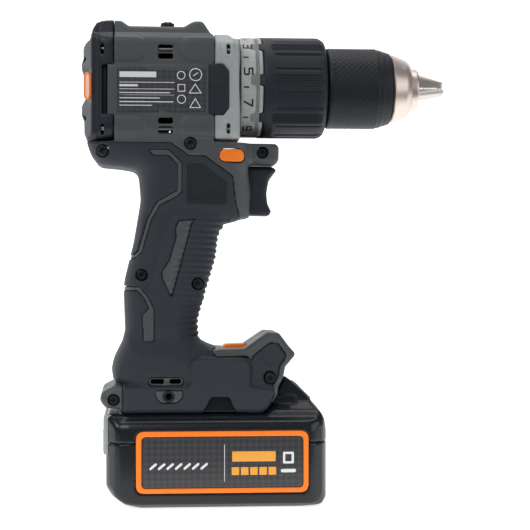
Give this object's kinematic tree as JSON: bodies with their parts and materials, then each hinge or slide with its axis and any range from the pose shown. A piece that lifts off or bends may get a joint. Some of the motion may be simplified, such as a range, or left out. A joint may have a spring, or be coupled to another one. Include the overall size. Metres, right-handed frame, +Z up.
{
  "type": "cordless drill",
  "caption": "Pistol-grip cordless drill driver with keyless three-jaw chuck, torque collar, trigger and slide-off battery pack.",
  "frame": {"origin": "centre of the flat base of the battery pack, on which the tool stands", "axes": "+X forward along the chuck axis, +Y to the tool's left, +Z up from the base"},
  "size_m": [0.1923, 0.075, 0.2522],
  "materials": {
    "housing": "fine moulded grain, satin",
    "overmould": "soft touch, matt",
    "cap": "moulded, satin",
    "badge": "satin plate",
    "plate": "printed check pattern",
    "inlay": "satin",
    "case_grey": "light grey, satin",
    "screw": "zinc plated, dark",
    "brass": "turned",
    "orange": "moulded",
    "steel": "ground",
    "dark_steel": "oiled",
    "laminate": "stacked sheet",
    "copper": "enamelled wire",
    "board": "circuit board",
    "magnet": "plated",
    "dial": "light grey, printed numbers",
    "collar_rubber": "ribbed, matt",
    "sleeve": "knurled",
    "nose": "turned, bare",
    "lens": "clear lamp window",
    "pack": "polished case",
    "cell": "wrapped cell",
    "wire": "insulated lead"
  },
  "bodies": {
    "drill": {"housing_right": "housing", "housing_left": "housing", "overmould_right": "overmould", "overmould_left": "overmould", "rear_cap": "cap", "rear_badge": "badge", "rating_plates": "plate", "side_tabs": "cap", "grip_inlays": "inlay", "gear_case": "case_grey", "case_screws": "screw", "hook_inserts": "brass", "switch_module": "cap", "stator": "laminate", "windings": "copper", "hall_board": "board", "motor_bearings": "steel", "motor_plate": "case_grey", "ring_gear": "dark_steel", "spindle_bearing": "steel", "clutch_balls": "steel", "clutch_washer": "dark_steel", "clutch_spring": "steel", "snap_ring": "dark_steel", "control_board": "board", "terminal_block": "cap", "leads": "wire", "lamp_board": "board", "lamp_lens": "lens"},
    "trigger": {"trigger": "overmould"},
    "direction_bar": {"direction_bar": "orange"},
    "speed_selector": {"speed_knob": "cap", "shift_ring": "dark_steel"},
    "rotor": {"rotor": "steel", "magnets": "magnet", "fan": "cap"},
    "carrier": {"carrier": "dark_steel"},
    "spindle": {"spindle": "steel", "chuck_body": "nose", "chuck_screw": "screw"},
    "clutch_collar": {"number_ring": "dial", "collar_grip": "collar_rubber"},
    "clutch_nut": {"clutch_nut": "cap"},
    "chuck_sleeve": {"chuck_sleeve": "sleeve", "ring_nut": "dark_steel"},
    "light_switch": {"light_switch": "orange"},
    "pack": {"pack_bottom": "pack", "pack_top": "pack", "cells": "cell"},
    "latch": {"latch": "pack"},
    "gauge_button": {"gauge_button": "orange"},
    "planet_1a": {"planet_1a": "dark_steel"},
    "planet_1b": {"planet_1b": "dark_steel"},
    "planet_1c": {"planet_1c": "dark_steel"},
    "planet_2a": {"planet_2a": "dark_steel"},
    "planet_2b": {"planet_2b": "dark_steel"},
    "planet_2c": {"planet_2c": "dark_steel"},
    "jaw_1": {"jaw_1": "dark_steel"},
    "jaw_2": {"jaw_2": "dark_steel"},
    "jaw_3": {"jaw_3": "dark_steel"}
  },
  "joints": [
    {"name": "trigger_pull", "type": "slide", "parent": "drill", "child": "trigger", "axis": [-1, 0, 0], "range_m": [0, 0.006], "stiffness_N_per_m": 900, "springref_m": -0.004},
    {"name": "direction_push", "type": "slide", "parent": "drill", "child": "direction_bar", "axis": [0, 1, 0], "range_m": [-0.0025, 0.0025]},
    {"name": "speed_shift", "type": "slide", "parent": "drill", "child": "speed_selector", "axis": [1, 0, 0], "range_m": [0, 0.006]},
    {"name": "rotor_spin", "type": "hinge", "parent": "drill", "child": "rotor", "pos_m": [0, 0, 0.218], "axis": [1, 0, 0], "continuous": true},
    {"name": "carrier_spin", "type": "hinge", "parent": "drill", "child": "carrier", "pos_m": [0.008, 0, 0.218], "axis": [1, 0, 0], "continuous": true},
    {"name": "spindle_spin", "type": "hinge", "parent": "drill", "child": "spindle", "pos_m": [0.045, 0, 0.218], "axis": [1, 0, 0], "continuous": true},
    {"name": "planet_1a_spin", "type": "hinge", "parent": "carrier", "child": "planet_1a", "pos_m": [0.0025, 0, 0.20828], "axis": [1, 0, 0], "continuous": true},
    {"name": "planet_1b_spin", "type": "hinge", "parent": "carrier", "child": "planet_1b", "pos_m": [0.0025, 0.00842, 0.22286], "axis": [1, 0, 0], "continuous": true},
    {"name": "planet_1c_spin", "type": "hinge", "parent": "carrier", "child": "planet_1c", "pos_m": [0.0025, -0.00842, 0.22286], "axis": [1, 0, 0], "continuous": true},
    {"name": "planet_2a_spin", "type": "hinge", "parent": "spindle", "child": "planet_2a", "pos_m": [0.0136, 0, 0.20828], "axis": [1, 0, 0], "continuous": true},
    {"name": "planet_2b_spin", "type": "hinge", "parent": "spindle", "child": "planet_2b", "pos_m": [0.0136, 0.00842, 0.22286], "axis": [1, 0, 0], "continuous": true},
    {"name": "planet_2c_spin", "type": "hinge", "parent": "spindle", "child": "planet_2c", "pos_m": [0.0136, -0.00842, 0.22286], "axis": [1, 0, 0], "continuous": true},
    {"name": "collar_turn", "type": "hinge", "parent": "drill", "child": "clutch_collar", "pos_m": [0.036, 0, 0.218], "axis": [-1, 0, 0], "range_deg": [0, 320]},
    {"name": "clutch_nut_feed", "type": "slide", "parent": "clutch_collar", "child": "clutch_nut", "axis": [-1, 0, 0], "range_m": [0, 0.005], "deforming": ["clutch_spring"]},
    {"name": "chuck_sleeve_turn", "type": "hinge", "parent": "spindle", "child": "chuck_sleeve", "pos_m": [0.075, 0, 0.218], "axis": [-1, 0, 0], "range_deg": [0, 2572.1]},
    {"name": "jaw_1_slide", "type": "slide", "parent": "spindle", "child": "jaw_1", "axis": [-0.9588, 0, 0.284], "range_m": [0, 0.02289]},
    {"name": "jaw_2_slide", "type": "slide", "parent": "spindle", "child": "jaw_2", "axis": [-0.9588, -0.246, -0.142], "range_m": [0, 0.02289]},
    {"name": "jaw_3_slide", "type": "slide", "parent": "spindle", "child": "jaw_3", "axis": [-0.9588, 0.246, -0.142], "range_m": [0, 0.02289]},
    {"name": "light_switch_slide", "type": "slide", "parent": "drill", "child": "light_switch", "axis": [0, 1, 0], "range_m": [-0.003, 0.003]},
    {"name": "pack_off", "type": "slide", "parent": "drill", "child": "pack", "axis": [1, 0, 0], "range_m": [0, 0.095]},
    {"name": "latch_press", "type": "slide", "parent": "pack", "child": "latch", "axis": [0, 0, -1], "range_m": [0, 0.0035], "stiffness_N_per_m": 800, "springref_m": -0.003},
    {"name": "gauge_press", "type": "slide", "parent": "pack", "child": "gauge_button", "axis": [1, 0, 0], "range_m": [0, 0.0008], "stiffness_N_per_m": 1500, "springref_m": -0.0006}
  ],
  "couplings": [
    {"joint": "carrier_spin", "follows": "rotor_spin", "ratio": 0.22222},
    {"joint": "spindle_spin", "follows": "rotor_spin", "ratio": 0.049383},
    {"joint": "planet_1a_spin", "follows": "rotor_spin", "ratio": -0.62222},
    {"joint": "planet_1b_spin", "follows": "rotor_spin", "ratio": -0.62222},
    {"joint": "planet_1c_spin", "follows": "rotor_spin", "ratio": -0.62222},
    {"joint": "planet_2a_spin", "follows": "rotor_spin", "ratio": -0.13827},
    {"joint": "planet_2b_spin", "follows": "rotor_spin", "ratio": -0.13827},
    {"joint": "planet_2c_spin", "follows": "rotor_spin", "ratio": -0.13827},
    {"joint": "clutch_nut_feed", "follows": "collar_turn", "m_per_rad": 0.00089516},
    {"joint": "jaw_1_slide", "follows": "chuck_sleeve_turn", "m_per_rad": 0.0005093},
    {"joint": "jaw_2_slide", "follows": "chuck_sleeve_turn", "m_per_rad": 0.0005093},
    {"joint": "jaw_3_slide", "follows": "chuck_sleeve_turn", "m_per_rad": 0.0005093}
  ]
}
